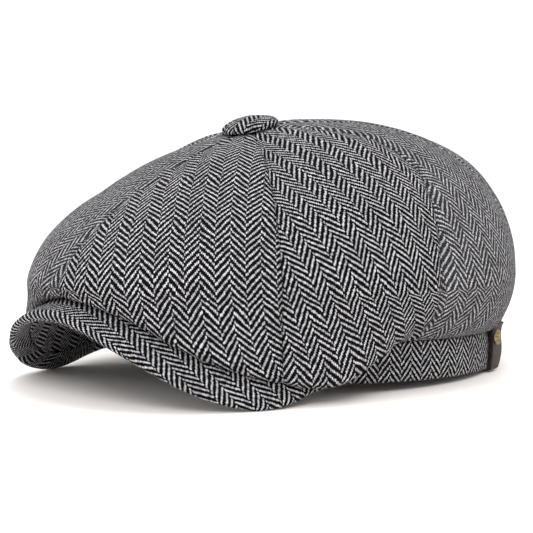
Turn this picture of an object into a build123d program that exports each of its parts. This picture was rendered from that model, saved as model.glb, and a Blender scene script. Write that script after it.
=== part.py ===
from build123d import *
import os
from math import acos, atan2, cos, degrees, hypot, pi, radians, sin, sqrt

# A newsboy cap: eight tweed gores meet under a covered button, hang forward over a short
# arched brim and are gathered into a band.
# Frame in millimetres: +Z up, -Y towards the brim, +X to the wearer's left. The origin is the
# centre of the head opening, on the surface that the cap rests on.

# Head opening, measured on the outside of the band.
OPEN_HALF_LENGTH = 103.5
OPEN_HALF_WIDTH = 84.5
TEMPLE_FORWARD = 46.0
TEMPLE_LIFT = 5.5

# Band, from the outside in: tweed, interlining, sweatband.
BAND_HEIGHT = 18.0
BAND_CLOTH = 1.4
INTERLINING = 0.7
SWEATBAND = 0.9
SWEATBAND_HEIGHT = 26.0
SWEATBAND_LIFT = 0.8
INTERLINING_LIFT = 0.6
TEMPLE_BLEND = 8.0
BAND_STEPS = 72

# Crown of eight gores.
GORE_SEAMS = (0.0, 54.0, 87.0, 133.0, 180.0, 227.0, 273.0, 306.0, 360.0)
PANELS = len(GORE_SEAMS) - 1
CROWN_FORWARD = -1.0
CROWN_FRONT_REACH = 146.0
CROWN_REAR_REACH = 109.0
CROWN_HALF_WIDTH = 100.0
CROWN_TOP = 122.0
EQUATOR_FRONT = 49.0
EQUATOR_SIDE = 46.0
EQUATOR_REAR = 48.0
ROUND_FRONT = 1.5
ROUND_SIDE = 1.85
ROUND_REAR = 2.55
BUTTON_FORWARD = 33.0
CROWN_CLOTH = 1.5
SEAM_GAP = 0.1
APEX_HOLE = 3.2
HANG_FROM = 84.0
HANG_FULL = 56.0
FOLD_DRAW_IN = 1.5
FOLD_RADIUS = 4.5
FOLD_CLEARANCE = 0.6
TUCK_ROUND = 1.65
FOLD_RETURN = 1.6
SEWING_GAP = 0.3

# Lining, sewn to the sweatband's top edge.
LINING_DROP = 3.4
LINING_EDGE_INSET = 3.6
LINING_ROUND = 2.4
LINING_CLOTH = 0.5
LINING_HOLE = 4.4

# Brim: a stiff board between a tweed top cover and a tweed under cover.
BRIM_REACH = 150.0
BRIM_HALF_WIDTH = 84.0
BRIM_WIDEST_FORWARD = 68.0
BRIM_ROUND = 2.2
BRIM_CORNER_LENGTH = 22.0
BRIM_CORNER_WIDTH = 8.7
BRIM_CORNER_TURN = 130.0
BRIM_SLOPE = 0.37
ARCH_RISE = 67.0
ARCH_HALF_WIDTH = 87.0
ARCH_FORWARD = 58.7
ARCH_BASE = 2.85
ARCH_BLEND_START = 42.0
ARCH_BLEND_END = 84.0
BRIM_AT_TEMPLE = 7.5
BOARD = 1.7
BRIM_CLOTH = 1.3
BRIM_LIP = 6.0
LIP_SHARE = 0.55
LIP_STEPS = 4
LIP_GAP = 0.4
LAYER_GAP = 0.12
BRIM_BAND_GAP = 0.2

# Covered button on the apex, tilted with the crown.
BUTTON_TILT = 13.5
BUTTON_RADIUS = 13.7
BUTTON_DOME = 4.7
BUTTON_CLOTH = 1.0
BUTTON_SHELL = 0.5
BUTTON_LIFT = 0.9
BUTTON_RIM = 1.2
BUTTON_BEVEL = 0.4
BUTTON_HEM = 3.0
METAL_GAP = 0.05
BACK_LOW = 0.1
BACK_HIGH = 0.9
SHANK_HEAD_RADIUS = 2.6
SHANK_HEAD_LOW = 1.0
SHANK_HEAD_HIGH = 1.6
SPUN_STEPS = 14
SHANK_RADIUS = 1.6
SHANK_LENGTH = 7.1
SHANK_FOOT_RADIUS = 6.0
SHANK_FOOT = 0.8

# Leather tab riveted over the band at the wearer's rear left.
TAB_TURN = 126.0
TAB_TWIST = -6.5
TAB_WIDTH = 12.0
TAB_LEATHER = 2.0
TAB_HEIGHT = 22.0
TAB_STAND_OFF = 1.2
TAB_LEAN = 3.2
TAB_SEAT = 1.0
TAB_DROP = 1.0
TAB_CORNER = 0.8
TAB_HOOK = 1.6
RIVET_RADIUS = 4.1
RIVET_DOME = 1.0
RIVET_RIM = 0.5
RIVET_POST_RADIUS = 1.3
RIVET_BACK_RADIUS = 3.4
RIVET_BACK = 0.5
RIVET_HEIGHT = 16.8
RIVET_STAND_OFF = 0.3
RIVET_BACK_GAP = 0.25
POST_SHORT = 0.4
BORE_REACH = 15.0

# Blank size label sewn inside the back of the sweatband.
LABEL_WIDTH = 32.0
LABEL_HEIGHT = 14.0
LABEL_CLOTH = 0.35
LABEL_LIFT = 7.0
LABEL_STEPS = 9

# Points that shape one curved sheet.
ACROSS_GORE = 9
DOWN_DOME = 16
DOWN_UNDER = 18
DOME_PACE = 2.6
ALONG_BRIM = 41
ACROSS_BRIM = 8
ROUND_EDGE = 7


def smooth_step(value, low, high):
    t = min(1.0, max(0.0, (value - low) / (high - low)))
    return t * t * (3.0 - 2.0 * t)


def mix(a, b, t):
    return tuple(p + (q - p) * t for p, q in zip(a, b))


def even_steps(line, count):
    """Spread count points evenly along a fine line of points."""
    lengths = [0.0]
    for a, b in zip(line, line[1:]):
        lengths.append(lengths[-1] + sqrt(sum((p - q) ** 2 for p, q in zip(a, b))))
    spread = []
    step = 0
    for index in range(count):
        wanted = lengths[-1] * index / (count - 1)
        while step < len(line) - 2 and lengths[step + 1] < wanted:
            step += 1
        span = lengths[step + 1] - lengths[step]
        t = 0.0 if span == 0 else (wanted - lengths[step]) / span
        spread.append(mix(line[step], line[step + 1], min(1.0, t)))
    return spread


# ---- shape of the head opening and the band ----


def opening_point(turn, inset=0.0):
    """A point on the band's outline; turn runs in degrees from the front to the wearer's left."""
    x = (OPEN_HALF_WIDTH - inset) * sin(radians(turn))
    y = -(OPEN_HALF_LENGTH - inset) * cos(radians(turn))
    return x, y


def brim_height(x, y):
    """Height of the board's middle surface: a tilted arch that settles towards the temples."""
    forward = -y
    arch = ARCH_BASE - BRIM_SLOPE * (forward - ARCH_FORWARD)
    arch += ARCH_RISE * (1.0 - (x / ARCH_HALF_WIDTH) ** 2)
    blend = smooth_step(forward, ARCH_BLEND_START, ARCH_BLEND_END)
    return BRIM_AT_TEMPLE + (arch - BRIM_AT_TEMPLE) * blend


def band_foot(turn):
    """Height of the band's lower edge: it rests at the rear and follows the brim in front."""
    x, y = opening_point(turn)
    forward = -y
    resting = TEMPLE_LIFT * (forward + OPEN_HALF_LENGTH) / (TEMPLE_FORWARD + OPEN_HALF_LENGTH)
    on_brim = brim_height(x, y) - 0.5 * BOARD - BRIM_CLOTH
    share = smooth_step(forward, TEMPLE_FORWARD - TEMPLE_BLEND, TEMPLE_FORWARD + TEMPLE_BLEND)
    return resting + (on_brim - resting) * share


def brim_top(x, y, clearance):
    """Height that clears the brim's upper cloth by a distance measured square to it."""
    step = 1.0
    slope_x = (brim_height(x + step, y) - brim_height(x - step, y)) / (2.0 * step)
    slope_y = (brim_height(x, y + step) - brim_height(x, y - step)) / (2.0 * step)
    layers = 0.5 * BOARD + LAYER_GAP + BRIM_CLOTH + clearance
    return brim_height(x, y) + layers * sqrt(1.0 + slope_x**2 + slope_y**2)


def band_ring(inset, thickness, foot_lift, height):
    """A closed strip that stands on edge around the head opening."""
    profiles = []
    for step in range(BAND_STEPS):
        turn = 360.0 * step / BAND_STEPS
        foot = band_foot(turn) + foot_lift
        outer = opening_point(turn, inset)
        inner = opening_point(turn, inset + thickness)
        profiles.append((outer, inner, foot, foot + height))
    loops = {
        "outer_low": [(o[0], o[1], low) for o, i, low, high in profiles],
        "outer_high": [(o[0], o[1], high) for o, i, low, high in profiles],
        "inner_low": [(i[0], i[1], low) for o, i, low, high in profiles],
        "inner_high": [(i[0], i[1], high) for o, i, low, high in profiles],
    }
    edge = {}
    for name, loop in loops.items():
        edge[name] = Edge.make_spline([Vector(*p) for p in loop], periodic=True)
    faces = [
        Face.make_surface_from_curves(edge["outer_low"], edge["outer_high"]),
        Face.make_surface_from_curves(edge["inner_low"], edge["inner_high"]),
        Face.make_surface_from_curves(edge["outer_low"], edge["inner_low"]),
        Face.make_surface_from_curves(edge["outer_high"], edge["inner_high"]),
    ]
    return Solid(Shell(faces))


# ---- shape of the crown ----


def around(turn, front, side, rear):
    share = cos(radians(turn)) ** 2
    end = front if cos(radians(turn)) > 0 else rear
    return side + (end - side) * share


def reach_along(bearing, half_width, front, rear, centre):
    """Distance from the button's axis to an egg-shaped outline, along one bearing."""
    start = BUTTON_FORWARD - centre
    c = cos(radians(bearing))
    for reach in (front, rear):
        square = (sin(radians(bearing)) / half_width) ** 2 + (c / reach) ** 2
        linear = start * c / reach**2
        constant = (start / reach) ** 2 - 1.0
        distance = (sqrt(linear**2 - square * constant) - linear) / square
        if (start + distance * c >= 0.0) == (reach == front):
            break
    return distance


def along_bearing(bearing, distance, z):
    x = distance * sin(radians(bearing))
    y = -BUTTON_FORWARD - distance * cos(radians(bearing))
    return x, y, z


def seam_bearing(turn):
    """Bearing from the button of the point on the crown's widest line at this turn."""
    reach = CROWN_FRONT_REACH if cos(radians(turn)) > 0 else CROWN_REAR_REACH
    across = CROWN_HALF_WIDTH * sin(radians(turn))
    ahead = CROWN_FORWARD + reach * cos(radians(turn)) - BUTTON_FORWARD
    bearing = degrees(atan2(across, ahead))
    return bearing if turn <= 180.0 else bearing + 360.0


def dome_height(x, y):
    """Height of the crown above its widest line, and of that line, over one point in plan."""
    forward = -y - CROWN_FORWARD
    reach = CROWN_FRONT_REACH if forward > 0 else CROWN_REAR_REACH
    along = forward / reach
    across = x / CROWN_HALF_WIDTH
    r = min(1.0, hypot(along, across))
    turn = degrees(atan2(across, along))
    power = around(turn, ROUND_FRONT, ROUND_SIDE, ROUND_REAR)
    rim = around(turn, EQUATOR_FRONT, EQUATOR_SIDE, EQUATOR_REAR)
    return rim + (CROWN_TOP - rim) * (1.0 - r**power) ** (1.0 / power)


def crown_section(bearing):
    """One line of the crown as distances from the button's axis and heights, down to the band."""
    fine = 60
    rim_reach = reach_along(
        bearing, CROWN_HALF_WIDTH, CROWN_FRONT_REACH, CROWN_REAR_REACH, CROWN_FORWARD
    )
    dome = []
    for step in range(fine + 1):
        distance = APEX_HOLE + (rim_reach - APEX_HOLE) * sin(0.5 * pi * step / fine)
        x, y, z = along_bearing(bearing, distance, 0.0)
        dome.append((distance, dome_height(x, y)))
    rim_z = dome[-1][1]

    seam_reach = reach_along(bearing, OPEN_HALF_WIDTH, OPEN_HALF_LENGTH, OPEN_HALF_LENGTH, 0.0)
    seam_x, seam_y, z = along_bearing(bearing, seam_reach, 0.0)
    seam_turn = degrees(atan2(seam_x / OPEN_HALF_WIDTH, -seam_y / OPEN_HALF_LENGTH))
    seam_z = band_foot(seam_turn) + BAND_HEIGHT + SEWING_GAP
    draw = rim_reach - seam_reach
    plain = []
    for step in range(fine + 1):
        t = 0.5 * pi * step / fine
        across = cos(t) ** (2.0 / TUCK_ROUND) if step < fine else 0.0
        down = sin(t) ** (2.0 / TUCK_ROUND)
        plain.append((seam_reach + draw * across, rim_z - (rim_z - seam_z) * down))

    fold_end = FOLD_DRAW_IN + FOLD_RADIUS
    low_x, low_y, z = along_bearing(bearing, rim_reach - fold_end, 0.0)
    low_z = brim_top(low_x, low_y, FOLD_CLEARANCE)
    hanging = []
    for step in range(fine + 1):
        t = step / fine
        hanging.append((rim_reach - FOLD_DRAW_IN * t * t, rim_z + (low_z + FOLD_RADIUS - rim_z) * t))
    for step in range(1, fine // 2 + 1):
        t = 0.5 * pi * step / (fine // 2)
        inward = FOLD_DRAW_IN + FOLD_RADIUS * (1.0 - cos(t))
        hanging.append((rim_reach - inward, low_z + FOLD_RADIUS * (1.0 - sin(t))))
    for step in range(1, fine + 1):
        t = step / fine
        distance = rim_reach - fold_end - (draw - fold_end) * t
        x, y, z = along_bearing(bearing, distance, 0.0)
        rising = low_z + (seam_z - low_z) * t**FOLD_RETURN
        hanging.append((distance, max(rising, brim_top(x, y, FOLD_CLEARANCE))))

    side_turn = abs((seam_turn + 180.0) % 360.0 - 180.0)
    hang = 1.0 - smooth_step(side_turn, HANG_FULL, HANG_FROM)
    under = [
        mix(a, b, hang)
        for a, b in zip(even_steps(plain, DOWN_UNDER), even_steps(hanging, DOWN_UNDER))
    ]
    return even_steps(dome, DOWN_DOME) + under[1:]


def inner_line(line, distance):
    """Offset a section towards the inside of the crown, in its own plane."""
    moved = []
    for index, (r, z) in enumerate(line):
        r0, z0 = line[max(0, index - 1)]
        r1, z1 = line[min(len(line) - 1, index + 1)]
        length = hypot(r1 - r0, z1 - z0)
        moved.append((r + distance * (z1 - z0) / length, z - distance * (r1 - r0) / length))
    return moved


def strip_outline(outer, inner, pace):
    """A closed outline from two lines of points, one on each side of a sheet of cloth."""
    back_pace = [pace[-1] - value for value in reversed(pace)]
    outer_edge = Edge.make_spline([Vector(*p) for p in outer], parameters=pace)
    inner_edge = Edge.make_spline([Vector(*p) for p in reversed(inner)], parameters=back_pace)
    foot = Edge.make_line(outer_edge @ 1, inner_edge @ 0)
    head = Edge.make_line(inner_edge @ 1, outer_edge @ 0)
    return Wire([outer_edge, foot, inner_edge, head])


def gore_bearings(index):
    """Bearings of the sections of one gore, just inside its two seams."""
    slack = degrees(0.5 * SEAM_GAP / CROWN_HALF_WIDTH)
    first = GORE_SEAMS[index] + slack
    last = GORE_SEAMS[index + 1] - slack
    step_width = (last - first) / (ACROSS_GORE - 1)
    return [seam_bearing(first + step_width * step) for step in range(ACROSS_GORE)]


def crown_panel(index):
    """One tweed gore, from the apex over the dome and the belly down to the band."""
    pace = [DOME_PACE * step for step in range(DOWN_DOME)]
    pace += [pace[-1] + step for step in range(1, DOWN_UNDER)]
    outlines = []
    for bearing in gore_bearings(index):
        outer = crown_section(bearing)
        inner = inner_line(outer, CROWN_CLOTH)
        outer = [along_bearing(bearing, r, z) for r, z in outer]
        inner = [along_bearing(bearing, r, z) for r, z in inner]
        outlines.append(strip_outline(outer, inner, pace))
    return Solid.make_loft(outlines, ruled=True)


def lining_section(bearing):
    """One line of the lining, from the apex down to the sweatband's top edge."""
    inset = LINING_EDGE_INSET
    length = OPEN_HALF_LENGTH - inset
    reach = reach_along(bearing, OPEN_HALF_WIDTH - inset, length, length, 0.0)
    x, y, z = along_bearing(bearing, reach, 0.0)
    edge_z = band_foot(degrees(atan2(x / OPEN_HALF_WIDTH, -y / OPEN_HALF_LENGTH)))
    edge_z += SWEATBAND_LIFT + SWEATBAND_HEIGHT + SEWING_GAP
    line = []
    for step in range(DOWN_DOME):
        distance = LINING_HOLE + (reach - LINING_HOLE) * sin(0.5 * pi * step / (DOWN_DOME - 1))
        x, y, z = along_bearing(bearing, distance, 0.0)
        r = min(1.0, hypot(x / (OPEN_HALF_WIDTH - inset), y / length))
        rounded = edge_z + (CROWN_TOP - edge_z) * (1.0 - r**LINING_ROUND) ** (1.0 / LINING_ROUND)
        line.append((distance, min(rounded, dome_height(x, y) - LINING_DROP * sqrt(1.0 + r**4))))
    return line


def lining_panel(index):
    """One gore of the lining."""
    outlines = []
    for bearing in gore_bearings(index):
        outer = lining_section(bearing)
        inner = inner_line(outer, LINING_CLOTH)
        outer = [along_bearing(bearing, r, z) for r, z in outer]
        inner = [along_bearing(bearing, r, z) for r, z in inner]
        outlines.append(strip_outline(outer, inner, [float(step) for step in range(DOWN_DOME)]))
    return Solid.make_loft(outlines, ruled=True)


# ---- brim ----


def brim_ends(share):
    """Plan points where one line across the brim leaves the band and reaches the outer edge."""
    temple_turn = degrees(acos(TEMPLE_FORWARD / OPEN_HALF_LENGTH))
    inner = opening_point(share * temple_turn, -BRIM_BAND_GAP)
    turn = radians(abs(share) * BRIM_CORNER_TURN)
    if turn <= 0.5 * pi:
        power = 2.0 / BRIM_ROUND
        forward = BRIM_WIDEST_FORWARD + (BRIM_REACH - BRIM_WIDEST_FORWARD) * cos(turn) ** power
        across = BRIM_HALF_WIDTH * sin(turn) ** power
    else:
        forward = BRIM_WIDEST_FORWARD - BRIM_CORNER_LENGTH * sin(turn - 0.5 * pi)
        across = BRIM_HALF_WIDTH - BRIM_CORNER_WIDTH * (1.0 - cos(turn - 0.5 * pi))
    return inner, (across if share > 0 else -across, -forward)


def brim_line(share, start, end, offset, count):
    """Points across the brim, offset square to its middle surface in the line's own plane."""
    inner, outer = brim_ends(share)
    length = hypot(outer[0] - inner[0], outer[1] - inner[1])
    line = []
    for step in range(count):
        distance = start + (length - end - start) * step / (count - 1)
        x, y = mix(inner, outer, distance / length)
        x1, y1 = mix(inner, outer, (distance + 0.5) / length)
        x0, y0 = mix(inner, outer, (distance - 0.5) / length)
        rise = brim_height(x1, y1) - brim_height(x0, y0)
        square = hypot(1.0, rise)
        shift = -offset * rise / square
        px, py = mix(inner, outer, max(0.0, distance + shift) / length)
        line.append((px, py, brim_height(x, y) + offset / square))
    return line


def brim_edge_turn(share, radius, count):
    """The half circle that carries the top cover around the outer edge."""
    inner, outer = brim_ends(share)
    length = hypot(outer[0] - inner[0], outer[1] - inner[1])
    edge = 0.5 * BOARD + LAYER_GAP + BRIM_CLOTH
    distance = length - edge
    x, y = mix(inner, outer, distance / length)
    x1, y1 = mix(inner, outer, (distance + 0.5) / length)
    x0, y0 = mix(inner, outer, (distance - 0.5) / length)
    rise = brim_height(x1, y1) - brim_height(x0, y0)
    square = hypot(1.0, rise)
    centre = brim_height(x, y)
    line = []
    for step in range(1, count):
        t = pi * step / count
        out = radius * sin(t)
        up = radius * cos(t)
        ahead = (out - up * rise) / square
        px, py = mix(inner, outer, (distance + ahead) / length)
        line.append((px, py, centre + (out * rise + up) / square))
    return line


def brim_shares():
    return [-1.0 + 2.0 * step / (ALONG_BRIM - 1) for step in range(ALONG_BRIM)]


def brim_sheet(low, high, start, end):
    """A layer of the brim between two offsets from the board's middle surface."""
    pace = [float(step) for step in range(ACROSS_BRIM)]
    outlines = []
    for share in brim_shares():
        upper = brim_line(share, start, end, high, ACROSS_BRIM)
        lower = brim_line(share, start, end, low, ACROSS_BRIM)
        outlines.append(strip_outline(upper, lower, pace))
    return Solid.make_loft(outlines, ruled=True)


def brim_top_cover():
    """Tweed over the board, around its outer edge and under it as a narrow lip."""
    near = 0.5 * BOARD + LAYER_GAP
    far = near + BRIM_CLOTH
    outlines = []
    for share in brim_shares():
        inner, outer = brim_ends(share)
        flat_width = hypot(outer[0] - inner[0], outer[1] - inner[1]) - far
        lip_start = flat_width - min(BRIM_LIP, LIP_SHARE * flat_width)
        lines = []
        for radius in (far, near):
            line = brim_line(share, 0.0, far, radius, ACROSS_BRIM)
            line += brim_edge_turn(share, radius, ROUND_EDGE)
            line += reversed(brim_line(share, lip_start, far, -radius, LIP_STEPS))
            lines.append(line)
        points = [Vector(*p) for p in lines[0] + list(reversed(lines[1]))]
        outlines.append(Wire.make_polygon(points, close=True))
    return Solid.make_loft(outlines, ruled=True)


# ---- button ----


def spun(points):
    """A solid of revolution about Z from a closed profile of radius and height."""
    outline = Polyline(*[(r, 0.0, z) for r, z in points], close=True)
    return revolve(make_face(outline), axis=Axis.Z, revolution_arc=360.0)


def dome_line(radius, height, base, count):
    """Radius and height down a flat dome, from its centre to its rim."""
    line = []
    for step in range(count + 1):
        t = 0.5 * pi * step / count
        line.append((radius * sin(t), base + height * cos(t)))
    return line


def button_parts():
    """Tweed over a pressed shell, closed by a back plate, on a shank with a disc as its foot."""
    inner_radius = BUTTON_RADIUS - BUTTON_CLOTH
    inner_dome = BUTTON_DOME - BUTTON_CLOTH
    hem = BUTTON_RADIUS - BUTTON_HEM
    cover = dome_line(BUTTON_RADIUS, BUTTON_DOME, BUTTON_RIM, SPUN_STEPS)
    cover += [
        (BUTTON_RADIUS - BUTTON_BEVEL, 0.25 * BUTTON_RIM),
        (BUTTON_RADIUS - 3.0 * BUTTON_BEVEL, 0.0),
        (hem, 0.0),
        (hem, 0.5 * BUTTON_RIM),
        (inner_radius - 0.5 * BUTTON_BEVEL, 0.65 * BUTTON_RIM),
    ]
    cover += reversed(dome_line(inner_radius, inner_dome, BUTTON_RIM, SPUN_STEPS))

    metal = inner_radius - METAL_GAP
    metal_dome = inner_dome - METAL_GAP
    shell = dome_line(metal, metal_dome, BUTTON_RIM, SPUN_STEPS)
    shell += reversed(
        dome_line(metal - BUTTON_SHELL, metal_dome - BUTTON_SHELL, BUTTON_RIM, SPUN_STEPS)
    )

    bore = SHANK_RADIUS + METAL_GAP
    back = [
        (bore, BACK_LOW),
        (hem - METAL_GAP, BACK_LOW),
        (hem - METAL_GAP, BACK_HIGH),
        (bore, BACK_HIGH),
    ]
    shank = [
        (0.0, SHANK_HEAD_HIGH),
        (SHANK_HEAD_RADIUS, SHANK_HEAD_HIGH),
        (SHANK_HEAD_RADIUS, SHANK_HEAD_LOW),
        (SHANK_RADIUS, SHANK_HEAD_LOW),
        (SHANK_RADIUS, SHANK_FOOT - SHANK_LENGTH),
        (SHANK_FOOT_RADIUS, SHANK_FOOT - SHANK_LENGTH),
        (SHANK_FOOT_RADIUS, -SHANK_LENGTH),
        (0.0, -SHANK_LENGTH),
    ]
    tilt = radians(BUTTON_TILT)
    seat_y = -BUTTON_FORWARD - BUTTON_LIFT * sin(tilt)
    seat_z = dome_height(0.0, -BUTTON_FORWARD) + BUTTON_LIFT * cos(tilt)
    seat = Location((0.0, seat_y, seat_z), (BUTTON_TILT, 0.0, 0.0))
    profiles = {
        "button_cover": cover,
        "button_shell": shell,
        "button_back": back,
        "button_shank": shank,
    }
    return {name: seat * spun(profile) for name, profile in profiles.items()}


# ---- leather tab, rivet and label ----


def band_place(turn, outward, z, twist):
    """A local frame on the band: X along it, Y outwards, Z up, then twisted about Z."""
    x, y = opening_point(turn)
    normal_x = x / OPEN_HALF_WIDTH**2
    normal_y = y / OPEN_HALF_LENGTH**2
    length = hypot(normal_x, normal_y)
    angle = degrees(atan2(normal_y, normal_x)) - 90.0
    place = (x + outward * normal_x / length, y + outward * normal_y / length, z)
    return Location(place, (0, 0, angle + twist))


def leather_tab():
    """A strip of leather that stands off the band and hooks under its lower edge."""
    out = TAB_STAND_OFF + TAB_LEATHER
    profile = [
        (0.0, 0.0),
        (out - TAB_CORNER, 0.0),
        (out, TAB_CORNER),
        (out + TAB_LEAN, TAB_HEIGHT),
        (TAB_STAND_OFF + TAB_LEAN, TAB_HEIGHT),
        (TAB_STAND_OFF, TAB_LEATHER),
        (0.0, TAB_HOOK),
    ]
    outline = Polyline(*[(0.0, y, z) for y, z in profile], close=True)
    return extrude(make_face(outline), amount=0.5 * TAB_WIDTH, dir=(1, 0, 0), both=True)


def tab_face():
    """How far the tab's face stands from the band's seat at the rivet."""
    rise = (RIVET_HEIGHT - TAB_DROP) / TAB_HEIGHT
    return TAB_STAND_OFF + TAB_LEATHER + TAB_LEAN * rise


def rivet_cap():
    """A low domed brass cap that leans with the tab's face."""
    profile = dome_line(RIVET_RADIUS, RIVET_DOME, RIVET_RIM, SPUN_STEPS)
    profile += [(RIVET_RADIUS, 0.0), (0.0, 0.0)]
    lean = degrees(atan2(TAB_LEAN, TAB_HEIGHT))
    turned = Location((0, 0, 0), (-90, 0, 0))
    return Location((0, tab_face() + RIVET_STAND_OFF, 0), (-lean, 0, 0)) * (turned * spun(profile))


def rivet_post():
    """A post through the tab and the band, spread to a disc behind the interlining."""
    inside = BAND_CLOTH + INTERLINING + TAB_SEAT + RIVET_BACK_GAP
    along = (Align.CENTER, Align.CENTER, Align.MIN)
    length = tab_face() + inside - POST_SHORT
    post = Location((0, 0, 0), (-90, 0, 0)) * Cylinder(RIVET_POST_RADIUS, length, align=along)
    back = Location((0, 0, 0), (90, 0, 0)) * Cylinder(RIVET_BACK_RADIUS, RIVET_BACK, align=along)
    return Location((0, -inside, 0)) * (post + back)


def size_label(inset):
    """A blank woven label that follows the sweatband round the back."""
    radius = (OPEN_HALF_WIDTH - inset) ** 2 / (OPEN_HALF_LENGTH - inset)
    angle = degrees(LABEL_WIDTH / radius)
    z = band_foot(180.0) + LABEL_LIFT
    outer = []
    inner = []
    for step in range(LABEL_STEPS):
        turn = 180.0 + angle * (step / (LABEL_STEPS - 1) - 0.5)
        outer.append((*opening_point(turn, inset), z))
        inner.append((*opening_point(turn, inset + LABEL_CLOTH), z))
    wire = strip_outline(outer, inner, [float(step) for step in range(LABEL_STEPS)])
    return extrude(Face(wire), amount=LABEL_HEIGHT, dir=(0, 0, 1))


# ---- build ----

nodes = {}
for number in range(PANELS):
    nodes[f"crown_panel_{number + 1}"] = crown_panel(number)
    nodes[f"lining_panel_{number + 1}"] = lining_panel(number)

tab_foot = band_foot(TAB_TURN) - TAB_DROP
cap_seat = band_place(TAB_TURN, TAB_SEAT, tab_foot + RIVET_HEIGHT, TAB_TWIST)
post_seat = band_place(TAB_TURN, TAB_SEAT, tab_foot + RIVET_HEIGHT, 0.0)
post_hole = Cylinder(RIVET_POST_RADIUS + METAL_GAP, BORE_REACH)
post_bore = post_seat * (Location((0, 0, 0), (90, 0, 0)) * post_hole)
interlining_inset = BAND_CLOTH + LAYER_GAP
sweatband_inset = interlining_inset + INTERLINING + RIVET_BACK + 2.0 * LAYER_GAP
nodes["outer_band"] = band_ring(0.0, BAND_CLOTH, 0.0, BAND_HEIGHT) - post_bore
interlining_height = BAND_HEIGHT - 2.0 * INTERLINING_LIFT
interlining = band_ring(interlining_inset, INTERLINING, INTERLINING_LIFT, interlining_height)
nodes["band_interlining"] = interlining - post_bore
nodes["sweatband"] = band_ring(sweatband_inset, SWEATBAND, SWEATBAND_LIFT, SWEATBAND_HEIGHT)

cloth_low = 0.5 * BOARD + LAYER_GAP
board_edge = cloth_low + BRIM_CLOTH
nodes["brim_board"] = brim_sheet(-0.5 * BOARD, 0.5 * BOARD, 0.0, board_edge)
nodes["brim_top_cover"] = brim_top_cover()
under_edge = board_edge + BRIM_LIP + LIP_GAP
nodes["brim_under_cover"] = brim_sheet(-cloth_low - BRIM_CLOTH, -cloth_low, 0.0, under_edge)

nodes.update(button_parts())

tab_seat = band_place(TAB_TURN, TAB_SEAT, tab_foot, TAB_TWIST)
nodes["leather_tab"] = tab_seat * leather_tab() - post_bore
nodes["rivet_cap"] = cap_seat * rivet_cap()
nodes["rivet_post"] = post_seat * rivet_post()
nodes["size_label"] = size_label(sweatband_inset + SWEATBAND + LAYER_GAP)

os.makedirs("parts", exist_ok=True)
for name, solid in nodes.items():
    export_step(solid, f"parts/{name}.step")
    box = solid.bounding_box()
    print(name, solid.is_valid, round(solid.volume, 1), "lowest", round(box.min.Z, 2))
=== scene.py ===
from math import acos, atan2, cos, degrees, hypot, pi, radians, sin, sqrt, tan

import bmesh
import bpy
import numpy as np
from mathutils import Matrix, Vector, noise


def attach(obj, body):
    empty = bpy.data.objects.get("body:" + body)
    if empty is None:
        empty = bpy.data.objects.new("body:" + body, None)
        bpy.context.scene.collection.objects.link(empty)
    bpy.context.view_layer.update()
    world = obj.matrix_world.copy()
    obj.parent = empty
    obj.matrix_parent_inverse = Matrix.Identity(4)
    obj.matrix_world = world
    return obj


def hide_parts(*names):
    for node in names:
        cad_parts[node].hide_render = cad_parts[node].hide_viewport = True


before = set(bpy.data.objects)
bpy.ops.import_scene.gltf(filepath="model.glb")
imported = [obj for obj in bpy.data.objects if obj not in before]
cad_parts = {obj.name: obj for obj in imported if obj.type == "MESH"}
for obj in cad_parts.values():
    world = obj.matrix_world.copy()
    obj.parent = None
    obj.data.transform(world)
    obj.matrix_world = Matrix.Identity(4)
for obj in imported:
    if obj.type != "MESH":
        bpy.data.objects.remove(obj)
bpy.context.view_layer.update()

# ---- camera ----
# The cap is looked at from its front left corner, a little above the table, with a long lens.
AIM = Vector((-0.04875, 0.01971, 0.04559))
CAMERA_AZIMUTH = radians(48.69)
CAMERA_ELEVATION = radians(5.0)
CAMERA_DISTANCE = 0.850
LENS = 110.15

camera_data = bpy.data.cameras.new("camera")
camera_data.lens = LENS
camera_data.sensor_width = 36.0
camera = bpy.data.objects.new("camera", camera_data)
bpy.context.scene.collection.objects.link(camera)
towards_camera = Vector((
    sin(CAMERA_AZIMUTH) * cos(CAMERA_ELEVATION),
    -cos(CAMERA_AZIMUTH) * cos(CAMERA_ELEVATION),
    sin(CAMERA_ELEVATION),
))
camera.location = AIM + CAMERA_DISTANCE * towards_camera
camera.rotation_euler = (-towards_camera).to_track_quat("-Z", "Y").to_euler()
bpy.context.scene.camera = camera


# ---- crown gores ----
# Eight gores of black and white herringbone wool are sewn edge to edge under the button.
# They puff up at the rear, hang over the brim in front and are gathered into the band.
GORE_SEAMS = (0.0, 54.0, 87.0, 133.0, 180.0, 227.0, 273.0, 306.0, 360.0)
GORES = len(GORE_SEAMS) - 1
OPEN_HALF_LENGTH = 103.5
OPEN_HALF_WIDTH = 84.5
TEMPLE_FORWARD = 46.0
TEMPLE_LIFT = 5.5
BAND_HEIGHT = 18.0
CROWN_FORWARD = -1.0
CROWN_FRONT_REACH = 146.0
CROWN_REAR_REACH = 109.0
CROWN_HALF_WIDTH = 100.0
CROWN_TOP = 122.0
EQUATOR_FRONT = 49.0
EQUATOR_SIDE = 46.0
EQUATOR_REAR = 48.0
ROUND_FRONT = 1.5
ROUND_SIDE = 1.85
ROUND_REAR = 2.55
BUTTON_FORWARD = 33.0
CROWN_CLOTH = 1.5
APEX_HOLE = 3.2
HANG_FROM = 84.0
HANG_FULL = 56.0
FOLD_DRAW_IN = 1.5
FOLD_RADIUS = 4.5
FOLD_PUSH = 4.5
FOLD_CLEARANCE = 0.6
TUCK_ROUND = 1.65
BRIM_SLOPE = 0.37
ARCH_RISE = 67.0
ARCH_HALF_WIDTH = 87.0
ARCH_FORWARD = 58.7
ARCH_BASE = 2.85
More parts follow.
